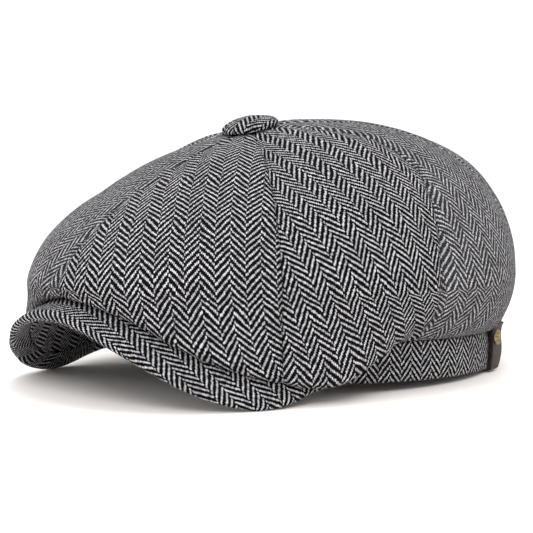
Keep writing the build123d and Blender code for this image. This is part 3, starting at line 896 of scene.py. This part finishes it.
work = bmesh.new()
for number in range(STITCHES):
    turn = 360.0 * (number + 0.5) / STITCHES
    point = on_stitch_line(turn)
    direction = (on_stitch_line(turn + 0.5) - point).normalized()
    inward = Vector((-point.x / OPEN_HALF_WIDTH**2, -point.y / OPEN_HALF_LENGTH**2, 0.0))
    inward.normalize()
    add_stitch(work, point + inward * STITCH_PROUD, direction, inward)
bmesh.ops.recalc_face_normals(work, faces=work.faces)
mesh = bpy.data.meshes.new("sweatband_stitches")
work.to_mesh(mesh)
work.free()
mesh.shade_smooth()
stitches = bpy.data.objects.new("sweatband_stitches", mesh)
bpy.context.scene.collection.objects.link(stitches)
thread, surface, start = new_material("sweatband_stitches_thread")
ply = start.in_piece().speckle(3000.0, 2.0)
finished(surface, ply.blend(SHADED_THREAD, LIGHT_THREAD), 0.6, ply, 0.0001)
stitches.data.materials.append(thread)
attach(stitches, "cap")


# ---- brim ----
# A stiff board is covered in the same wool. The upper cloth is stretched over it, turned round
# its outer edge and sewn to the under cloth a few millimetres in.
BRIM_REACH = 150.0
BRIM_HALF_WIDTH = 84.0
BRIM_WIDEST_FORWARD = 68.0
BRIM_ROUND = 2.2
BRIM_CORNER_LENGTH = 22.0
BRIM_CORNER_WIDTH = 8.7
BRIM_CORNER_TURN = 130.0
BRIM_LIP = 6.0
LIP_SHARE = 0.55
LIP_GAP = 0.4
BRIM_BAND_GAP = 0.2
ALONG_BRIM = 145
ACROSS_BRIM = 22
EDGE_TURNS = 12
LIP_ROWS = 6


def brim_ends(share):
    """Plan points where one line across the brim leaves the band and reaches the outer edge."""
    temple_turn = degrees(acos(TEMPLE_FORWARD / OPEN_HALF_LENGTH))
    inner = Vector(opening_point(share * temple_turn, -BRIM_BAND_GAP))
    turn = radians(abs(share) * BRIM_CORNER_TURN)
    if turn <= 0.5 * pi:
        power = 2.0 / BRIM_ROUND
        forward = BRIM_WIDEST_FORWARD + (BRIM_REACH - BRIM_WIDEST_FORWARD) * cos(turn) ** power
        across = BRIM_HALF_WIDTH * sin(turn) ** power
    else:
        forward = BRIM_WIDEST_FORWARD - BRIM_CORNER_LENGTH * sin(turn - 0.5 * pi)
        across = BRIM_HALF_WIDTH - BRIM_CORNER_WIDTH * (1.0 - cos(turn - 0.5 * pi))
    return inner, Vector((across if share > 0 else -across, -forward))


def brim_rise(inner, outer, length, distance):
    ahead = inner.lerp(outer, (distance + 0.5) / length)
    behind = inner.lerp(outer, (distance - 0.5) / length)
    return brim_height(*ahead) - brim_height(*behind)


def brim_line(share, start, end, offset, count):
    """Points across the brim, offset square to the board's middle surface."""
    inner, outer = brim_ends(share)
    length = (outer - inner).length
    line = []
    for step in range(count):
        distance = start + (length - end - start) * step / (count - 1)
        rise = brim_rise(inner, outer, length, distance)
        square = hypot(1.0, rise)
        place = inner.lerp(outer, max(0.0, distance - offset * rise / square) / length)
        height = brim_height(*inner.lerp(outer, distance / length)) + offset / square
        line.append(Vector((*place, height)))
    return line


def brim_edge_turn(share, radius, end, count):
    """The half circle that carries the upper cloth around the outer edge."""
    inner, outer = brim_ends(share)
    length = (outer - inner).length
    distance = length - end
    rise = brim_rise(inner, outer, length, distance)
    square = hypot(1.0, rise)
    centre = brim_height(*inner.lerp(outer, distance / length))
    line = []
    for step in range(1, count):
        t = pi * step / count
        out, up = radius * sin(t), radius * cos(t)
        place = inner.lerp(outer, (distance + (out - up * rise) / square) / length)
        line.append(Vector((*place, centre + (out * rise + up) / square)))
    return line


ARCH_STEPS = 400
arch_lengths = [0.0]
for step in range(ARCH_STEPS):
    x = ARCH_HALF_WIDTH * (step + 0.5) / ARCH_STEPS
    slope = 2.0 * ARCH_RISE * x / ARCH_HALF_WIDTH**2 / sqrt(1.0 + BRIM_SLOPE**2)
    arch_lengths.append(arch_lengths[-1] + hypot(1.0, slope) * ARCH_HALF_WIDTH / ARCH_STEPS)


def brim_place(point):
    """Where a point of the arch lies when the brim is unrolled flat."""
    across = np.linspace(0.0, ARCH_HALF_WIDTH, ARCH_STEPS + 1)
    reach = np.interp(abs(point.x), across, arch_lengths)
    tilt = sqrt(1.0 + BRIM_SLOPE**2)
    ahead = (-point.y - BRIM_SLOPE * point.z) / tilt
    return Vector((ahead, float(reach) * (1.0 if point.x > 0 else -1.0)))


def wrapped_cloth(line, flat_count):
    """Unrolled places for one line across the brim, carried on around its edge."""
    cloth = [brim_place(point) for point in line[:flat_count]]
    step = (cloth[-1] - cloth[-3]).normalized()
    for a, b in zip(line[flat_count - 1 :], line[flat_count:]):
        cloth.append(cloth[-1] + step * (b - a).length)
    return cloth


cover_offset = 0.5 * BOARD + LAYER_GAP + BRIM_CLOTH
top_lines, top_cloth, under_lines, under_cloth = [], [], [], []
for column in range(ALONG_BRIM):
    share = -1.0 + 2.0 * column / (ALONG_BRIM - 1)
    inner, outer = brim_ends(share)
    flat_width = (outer - inner).length - cover_offset
    lip_start = flat_width - min(BRIM_LIP, LIP_SHARE * flat_width)
    line = brim_line(share, 0.0, cover_offset, cover_offset, ACROSS_BRIM)
    line += brim_edge_turn(share, cover_offset, cover_offset, EDGE_TURNS)
    line += reversed(brim_line(share, lip_start, cover_offset, -cover_offset, LIP_ROWS))
    top_lines.append(line)
    top_cloth.append(wrapped_cloth(line, ACROSS_BRIM))
    under_end = cover_offset + BRIM_LIP + LIP_GAP
    under = brim_line(share, 0.0, under_end, -cover_offset, ACROSS_BRIM)
    under_lines.insert(0, under)
    under_cloth.insert(0, [brim_place(point) for point in under])


def brim_shape(row, column, point):
    sewn_in = smooth_step(row, 3, 9)
    return sewn_in * (noise.noise(point * 0.07) * 0.35 + noise.noise(point * 0.2) * 0.12)


for name, node, lines, cloth_lines in (
    ("brim_upper_wool", "brim_top_cover", top_lines, top_cloth),
    ("brim_under_wool", "brim_under_cover", under_lines, under_cloth),
):
    cloth = as_rows(cloth_lines)
    piece = cloth_mesh(name, moved_out(as_rows(lines), brim_shape), cloth, BRIM_CLOTH)
    piece.data.materials.append(tweed)
    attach(piece, "cap")
    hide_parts(node)

BOARD_DARK = (0.03, 0.03, 0.032)
BOARD_LIGHT = (0.07, 0.07, 0.072)

board_sheet, surface, start = new_material("brim_board_sheet")
mottle = start.in_piece().speckle(400.0, 4.0)
finished(surface, mottle.blend(BOARD_DARK, BOARD_LIGHT), 0.6, mottle, 0.0001)
finish_node("brim_board", board_sheet)


# ---- covered button ----
# A pressed steel shell is covered in the same wool, which is gathered under its rim and held by
# a back plate. It stands on a short shank through the point where the gores meet.
BUTTON_TILT = 13.5
BUTTON_RADIUS = 13.7
BUTTON_DOME = 4.7
BUTTON_LIFT = 0.9
BUTTON_RIM = 1.2
BUTTON_CLOTH = 0.9
BUTTON_HEM = 3.0
BUTTON_GRAIN_TURN = 12.0
BUTTON_COLUMNS = 97
BUTTON_ROWS = 30
DOME_STEPS = 21
RIM_STEPS = 5
HEM_STEPS = 3
BUTTON_PLEATS = 26
PLEAT_DEPTH = 0.35
BUTTON_DENT = 0.3

tilt = radians(BUTTON_TILT)
button_seat = Matrix.Translation((
    0.0,
    -BUTTON_FORWARD - BUTTON_LIFT * sin(tilt),
    dome_height(0.0, -BUTTON_FORWARD) + BUTTON_LIFT * cos(tilt),
)) @ Matrix.Rotation(tilt, 4, "X")

profile = []
for step in range(DOME_STEPS + 1):
    t = 0.5 * pi * step / DOME_STEPS
    profile.append(Vector((BUTTON_RADIUS * sin(t), BUTTON_RIM + BUTTON_DOME * cos(t))))
for step in range(1, RIM_STEPS + 1):
    t = 0.5 * pi * step / RIM_STEPS
    turned_in = BUTTON_RIM * (1.0 - cos(t))
    profile.append(Vector((BUTTON_RADIUS - turned_in, BUTTON_RIM - BUTTON_RIM * sin(t))))
for step in range(1, HEM_STEPS + 1):
    from_rim = BUTTON_RADIUS - BUTTON_RIM
    hem = (BUTTON_RADIUS - BUTTON_HEM - from_rim) * (step / HEM_STEPS)
    profile.append(Vector((from_rim + hem, 0.0)))
profile = even_steps(profile, BUTTON_ROWS)
grid, cloth = [], []
walked = 0.0
for row, (radius, height) in enumerate(profile):
    if row:
        walked += (profile[row] - profile[row - 1]).length
    line, flat_line = [], []
    rim = smooth_step(row, BUTTON_ROWS - 11, BUTTON_ROWS - 6)
    for column in range(BUTTON_COLUMNS):
        angle = 2.0 * pi * column / (BUTTON_COLUMNS - 1)
        fold = cos(BUTTON_PLEATS * angle + 1.3 * sin(3.0 * angle))
        pleat = rim * PLEAT_DEPTH * (0.5 + 0.5 * fold)
        place = Vector((radius * sin(angle), radius * cos(angle), 3.0))
        dent = BUTTON_DENT * noise.noise(place * 0.16)
        r = max(0.02, radius - pleat)
        local = Vector((r * sin(angle), -r * cos(angle), height + dent * (1.0 - rim)))
        line.append(button_seat @ local)
        flat_line.append(Vector((walked * sin(angle), walked * cos(angle))))
    grid.append(line)
    cloth.append(flat_line)
cloth = turned_cloth(cloth, BUTTON_GRAIN_TURN)
piece = cloth_mesh("button_wool", grid, cloth, BUTTON_CLOTH, True)
piece.data.materials.append(tweed)
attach(piece, "button")
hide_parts("button_cover")

DULL_STEEL = (0.35, 0.34, 0.33)
BRIGHT_STEEL = (0.62, 0.61, 0.60)

steel, surface, start = new_material("stamped_steel")
surface.inputs["Metallic"].default_value = 1.0
scuff = start.in_piece().speckle(900.0, 4.0)
finished(surface, scuff.blend(DULL_STEEL, BRIGHT_STEEL), scuff * 0.3 + 0.25, scuff, 0.00005)
for node in ("button_shell", "button_back", "button_shank"):
    finish_node(node, steel)


# ---- leather tab ----
# A short strap of dark brown leather stands over the band at the wearer's rear left. Its foot is
# turned under the band's lower edge and its squared top end flares outwards.
TAB_TURN = 126.0
TAB_TWIST = -12.0
TAB_SEAT = 1.0
TAB_DROP = 1.0
TAB_LEATHER = 1.9
TAB_CURL = 0.35
TAB_EDGE = 0.00035
TAB_COLUMNS = 13
TAB_ROWS = 46
TAB_PATH = (
    (-2.2, 0.25), (-0.6, 0.05), (0.8, 0.15), (1.9, 0.8), (2.4, 2.4), (2.9, 5.0), (3.4, 8.5),
    (3.5, 12.0), (3.3, 15.5), (3.3, 18.5), (3.6, 21.0), (4.4, 22.9),
)
TAB_HALF_WIDTHS = (
    (0.0, 4.6), (0.12, 4.7), (0.30, 5.6), (0.45, 5.9), (0.60, 5.7), (0.78, 5.3), (0.92, 5.7),
    (1.0, 6.1),
)
DARK_LEATHER = (0.007, 0.004, 0.003)
BROWN_LEATHER = (0.030, 0.016, 0.011)
RUBBED_LEATHER = (0.060, 0.036, 0.027)
PATH_STEPS = 12

x, y = opening_point(TAB_TURN)
normal = Vector((x / OPEN_HALF_WIDTH**2, y / OPEN_HALF_LENGTH**2, 0.0)).normalized()
tab_foot = band_foot(TAB_TURN) - TAB_DROP
tab_seat = Matrix.Translation(Vector((x, y, tab_foot)) + normal * TAB_SEAT) @ Matrix.Rotation(
    atan2(normal.y, normal.x) - 0.5 * pi + radians(TAB_TWIST), 4, "Z"
)


def rounded_path(points, count):
    """A smooth line through a few points."""
    fine = []
    corners = [Vector(point) for point in points]
    for index in range(len(corners) - 1):
        a = corners[max(0, index - 1)]
        b, c = corners[index], corners[index + 1]
        d = corners[min(len(corners) - 1, index + 2)]
        for step in range(PATH_STEPS):
            t = step / PATH_STEPS
            fine.append(
                0.5 * ((2.0 * b) + (c - a) * t + (2.0 * a - 5.0 * b + 4.0 * c - d) * t**2
                       + (3.0 * b - a - 3.0 * c + d) * t**3)
            )
    fine.append(corners[-1])
    return even_steps(fine, count)


tab_path = rounded_path(TAB_PATH, TAB_ROWS)
grid, cloth = [], []
walked = 0.0
for row, (out, up) in enumerate(tab_path):
    if row:
        walked += (tab_path[row] - tab_path[row - 1]).length
    share = row / (TAB_ROWS - 1)
    half = float(np.interp(share, *zip(*TAB_HALF_WIDTHS)))
    line, flat_line = [], []
    for column in range(TAB_COLUMNS):
        across = 2.0 * column / (TAB_COLUMNS - 1) - 1.0
        curl = TAB_CURL * across**4
        line.append(tab_seat @ Vector((half * across, out - curl, up)))
        flat_line.append(Vector((half * across, walked)))
    grid.append(line)
    cloth.append(flat_line)
piece = cloth_mesh("leather_strap", grid, cloth, TAB_LEATHER)
bevel = piece.modifiers.new("skived_edges", "BEVEL")
bevel.width = TAB_EDGE
bevel.segments = 3
bevel.limit_method = "ANGLE"
leather, surface, start = new_material("dark_brown_leather")
surface.inputs["Specular IOR Level"].default_value = 0.3
place = start.in_piece()
grain = start.out(
    start.node("ShaderNodeTexVoronoi", {"feature": "DISTANCE_TO_EDGE"}, Vector=place, Scale=1300.0)
)
creases = place.speckle(420.0, 4.0)
worn = place.speckle(160.0, 3.0).ramp(0.45, 0.75)
colour = (grain.ramp(0.0, 0.25) * 0.5 + creases * 0.5).blend(DARK_LEATHER, BROWN_LEATHER)
colour = (worn * 0.5).blend(colour, RUBBED_LEATHER)
relief = grain.ramp(0.0, 0.2) * 0.6 + creases * 0.8
finished(surface, colour, creases * 0.25 + 0.38, relief, 0.00022)
piece.data.materials.append(leather)
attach(piece, "cap")
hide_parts("leather_tab")


# ---- rivet ----
# An antique brass cap, a dome inside a raised ring, is closed over a post that goes through the
# strap and the band.
RIVET_AT = 16.4
RIVET_ASIDE = 0.8
RIVET_LEAN = -3.0
RIVET_COLUMNS = 48
RIVET_METAL = 0.3
DOME_ROWS = 34
STEM_ROWS = 60
RIVET_PROFILE = (
    (0.02, 1.15), (0.8, 1.10), (1.5, 0.95), (2.0, 0.65), (2.25, 0.38), (2.5, 0.34), (2.8, 0.62),
    (3.15, 0.82), (3.5, 0.74), (3.8, 0.4), (3.9, 0.0), (3.4, -0.1),
)
STEM_PROFILE = (
    (0.02, 0.15), (1.2, 0.15), (1.3, 0.0), (1.3, -7.6), (1.35, -7.75), (3.2, -7.8), (3.4, -7.95),
    (3.4, -8.15), (3.2, -8.3), (0.02, -8.35),
)
TARNISHED_BRASS = (0.055, 0.040, 0.024)
BRIGHT_BRASS = (0.40, 0.31, 0.17)

face = next(point for point in tab_path if point[1] > RIVET_AT)
rivet_seat = (
    tab_seat
    @ Matrix.Translation((RIVET_ASIDE, face[0] + 0.05, RIVET_AT))
    @ Matrix.Rotation(radians(-90.0 - RIVET_LEAN), 4, "X")
)
brass, surface, start = new_material("antique_brass")
surface.inputs["Metallic"].default_value = 1.0
place = start.in_piece()
tarnish = place.speckle(650.0, 5.0)
spots = place.speckle(2600.0, 2.0)
colour = (tarnish * 0.8 + spots * 0.3).ramp(0.3, 0.8).blend(TARNISHED_BRASS, BRIGHT_BRASS)
finished(surface, colour, 0.55 - tarnish * 0.25, tarnish + spots * 0.4, 0.00008)

for name, node, profile, rows, standing in (
    ("rivet_dome", "rivet_cap", RIVET_PROFILE, DOME_ROWS, False),
    ("rivet_stem", "rivet_post", STEM_PROFILE, STEM_ROWS, True),
):
    grid, cloth = [], []
    for radius, height in rounded_path(profile, rows):
        line, flat_line = [], []
        for column in range(RIVET_COLUMNS + 1):
            angle = 2.0 * pi * column / RIVET_COLUMNS
            across, down = radius * sin(angle), radius * cos(angle)
            line.append(rivet_seat @ Vector((across, -down, height)))
            flat_line.append(Vector((across, height if standing else down)))
        grid.append(line)
        cloth.append(flat_line)
    piece = cloth_mesh(name, grid, cloth, RIVET_METAL, True)
    piece.data.materials.append(brass)
    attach(piece, "cap")
    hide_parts(node)


# ---- size label ----
# A blank woven label is sewn inside the back of the sweatband by its two ends.
LABEL_WIDTH = 32.0
LABEL_HEIGHT = 14.0
LABEL_CLOTH = 0.35
LABEL_LIFT = 7.0
LABEL_COLUMNS = 33
LABEL_ROWS = 13
LABEL_SLACK = 0.25
LABEL_SHADE = (0.55, 0.54, 0.51)
LABEL_WHITE = (0.82, 0.81, 0.78)

label_inset = SWEATBAND_INSET + SWEATBAND + LAYER_GAP
label_radius = (OPEN_HALF_WIDTH - label_inset) ** 2 / (OPEN_HALF_LENGTH - label_inset)
label_angle = degrees(LABEL_WIDTH / label_radius)
grid, cloth = [], []
for row in range(LABEL_ROWS):
    down = row / (LABEL_ROWS - 1)
    line, flat_line = [], []
    for column in range(LABEL_COLUMNS):
        share = column / (LABEL_COLUMNS - 1) - 0.5
        bag = 0.5 + 0.5 * cos(2.0 * pi * share) * (0.6 + 0.4 * cos(pi * down))
        x, y = opening_point(180.0 - label_angle * share, label_inset + LABEL_SLACK + bag)
        line.append(Vector((x, y, band_foot(180.0) + LABEL_LIFT + LABEL_HEIGHT * (1.0 - down))))
        flat_line.append(Vector((LABEL_WIDTH * share, LABEL_HEIGHT * down)))
    grid.append(line)
    cloth.append(flat_line)
piece = cloth_mesh("blank_label", grid, cloth, LABEL_CLOTH)
piece.data.materials.append(satin("label_satin", LABEL_SHADE, LABEL_WHITE))
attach(piece, "cap")
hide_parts("size_label")


# ---- floor and light ----
# A plain white table under two large soft lights, with a weak one low at the brim's far side.
TABLE_SIZE = 16.0
TABLE_HEIGHT = -0.0002
TABLE_WHITE = (0.96, 0.92, 0.89, 1.0)
SURROUNDING_LIGHT = 1.15

bpy.ops.mesh.primitive_plane_add(size=TABLE_SIZE, location=(0.0, 0.0, TABLE_HEIGHT))
floor = bpy.context.object
floor.name = "table"
paint, floor_surface, _ = new_material("white_table")
floor_surface.inputs["Base Color"].default_value = TABLE_WHITE
floor_surface.inputs["Roughness"].default_value = 0.7
floor.data.materials.append(paint)


def soft_light(name, place, aim, size, power):
    data = bpy.data.lights.new(name, "AREA")
    data.shape = "DISK"
    data.size = size
    data.energy = power
    lamp = bpy.data.objects.new(name, data)
    bpy.context.scene.collection.objects.link(lamp)
    lamp.location = place
    lamp.rotation_euler = (Vector(aim) - Vector(place)).to_track_quat("-Z", "Y").to_euler()


soft_light("key_light", (1.0, -0.9, 1.0), (0.0, 0.0, 0.05), 0.8, 13.0)
soft_light("top_light", (0.1, 0.2, 1.6), (0.0, 0.0, 0.05), 1.2, 10.0)
soft_light("fill_light", (-0.75, -0.75, 0.22), (0.0, -0.08, 0.0), 0.5, 2.4)
world = bpy.data.worlds.new("studio")
bpy.context.scene.world = world
world.use_nodes = True
sky = next(node for node in world.node_tree.nodes if node.type == "BACKGROUND")
sky.inputs["Color"].default_value = (1.0, 1.0, 1.0, 1.0)
sky.inputs["Strength"].default_value = SURROUNDING_LIGHT
bpy.context.scene.view_settings.view_transform = "Standard"
